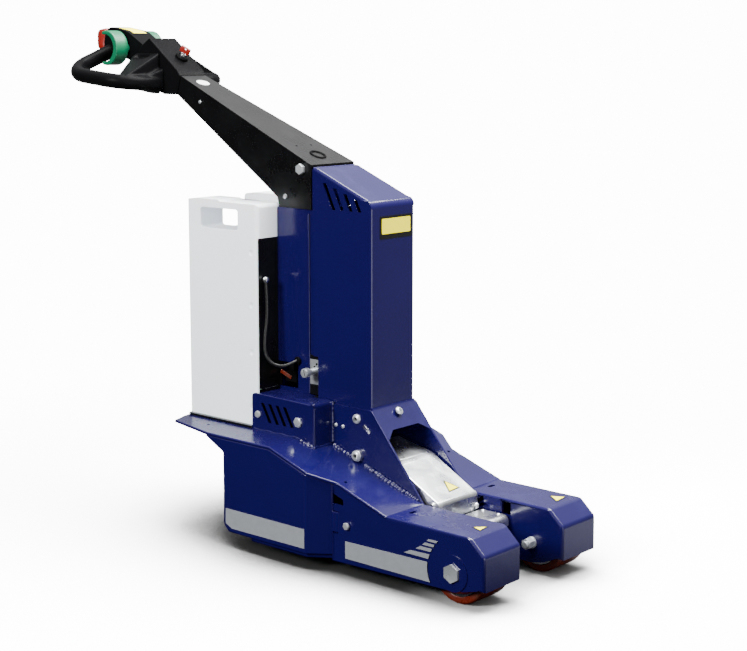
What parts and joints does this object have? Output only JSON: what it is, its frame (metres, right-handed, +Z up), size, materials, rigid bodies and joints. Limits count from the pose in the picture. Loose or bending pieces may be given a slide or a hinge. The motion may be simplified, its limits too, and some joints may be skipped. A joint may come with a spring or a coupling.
{
  "type": "electric tow tractor",
  "caption": "Walk-behind electric tow tractor with low fork arms on rollers, a lifting hitch saddle, upright column, white battery case and looped tiller head.",
  "frame": {"origin": "on the floor, below the middle of the bounding box", "axes": "+X towards the fork arms' tips, +Y to the machine's left, +Z up"},
  "size_m": [1.206, 0.402, 1.0113],
  "materials": {
    "blue_paint": "gloss powder coat",
    "black_paint": "satin powder coat",
    "zinc": "zinc plated",
    "cast_housing": "dark grey paint",
    "black_plastic": "fine grain",
    "white_plastic": "semi gloss moulded polyethylene",
    "red_plastic": "gloss",
    "green_plastic": "semi gloss",
    "orange_plastic": "semi gloss",
    "lead_block": "plain",
    "brown_pu": "cast polyurethane",
    "black_rubber": "solid rubber"
  },
  "bodies": {
    "chassis": {"deck": "blue_paint", "arm_left": "blue_paint", "arm_right": "blue_paint", "axle_bolt_left": "zinc", "axle_bolt_right": "zinc", "roller_spacers": "zinc", "skirt_left": "blue_paint", "skirt_right": "blue_paint", "cross_member": "blue_paint", "hood_rear": "blue_paint", "hood_front": "blue_paint", "column_cover": "blue_paint", "column_core": "blue_paint", "column_stems": "blue_paint", "latch_bolt": "zinc", "tiller_arm": "black_paint", "tiller_bolts": "zinc", "head_console": "black_plastic", "head_nose": "black_plastic", "belly_button": "red_plastic", "handle_left": "black_plastic", "handle_right": "black_plastic", "throttle_wings": "green_plastic", "key_switch": "black_plastic", "battery_tray": "black_paint", "battery_case": "white_plastic", "battery_block": "lead_block", "contact_plate": "black_plastic", "lead_gland": "zinc", "column_grommet": "black_plastic", "battery_lead": "black_plastic", "charge_socket": "orange_plastic", "drive_unit": "cast_housing", "lift_pin": "zinc"},
    "roller_left": {"roller_hub_left": "zinc", "roller_tyre_left": "brown_pu"},
    "roller_right": {"roller_hub_right": "zinc", "roller_tyre_right": "brown_pu"},
    "drive_wheel_left": {"drive_rim_left": "cast_housing", "drive_tyre_left": "black_rubber"},
    "drive_wheel_right": {"drive_rim_right": "cast_housing", "drive_tyre_right": "black_rubber"},
    "lift_arm": {"lift_arm": "zinc", "saddle_pin": "zinc"},
    "hitch_saddle": {"hitch_saddle": "zinc"}
  },
  "joints": [
    {"name": "roller_left_spin", "type": "hinge", "parent": "chassis", "child": "roller_left", "pos_m": [0.534, 0.1175, 0.06], "axis": [0, 1, 0], "continuous": true},
    {"name": "roller_right_spin", "type": "hinge", "parent": "chassis", "child": "roller_right", "pos_m": [0.534, -0.1175, 0.06], "axis": [0, 1, 0], "continuous": true},
    {"name": "drive_wheel_left_spin", "type": "hinge", "parent": "chassis", "child": "drive_wheel_left", "pos_m": [0.058, 0.1105, 0.095], "axis": [0, 1, 0], "continuous": true},
    {"name": "drive_wheel_right_spin", "type": "hinge", "parent": "chassis", "child": "drive_wheel_right", "pos_m": [0.058, -0.1105, 0.095], "axis": [0, 1, 0], "continuous": true},
    {"name": "lift_arm_raise", "type": "hinge", "parent": "chassis", "child": "lift_arm", "pos_m": [0.221, 0, 0.197], "axis": [0, -1, 0], "range_deg": [0, 22]},
    {"name": "hitch_saddle_level", "type": "hinge", "parent": "lift_arm", "child": "hitch_saddle", "pos_m": [0.4, 0, 0.111], "axis": [0, -1, 0], "range_deg": [-22, 0]}
  ],
  "couplings": [
    {"joint": "hitch_saddle_level", "follows": "lift_arm_raise", "ratio": -1}
  ]
}
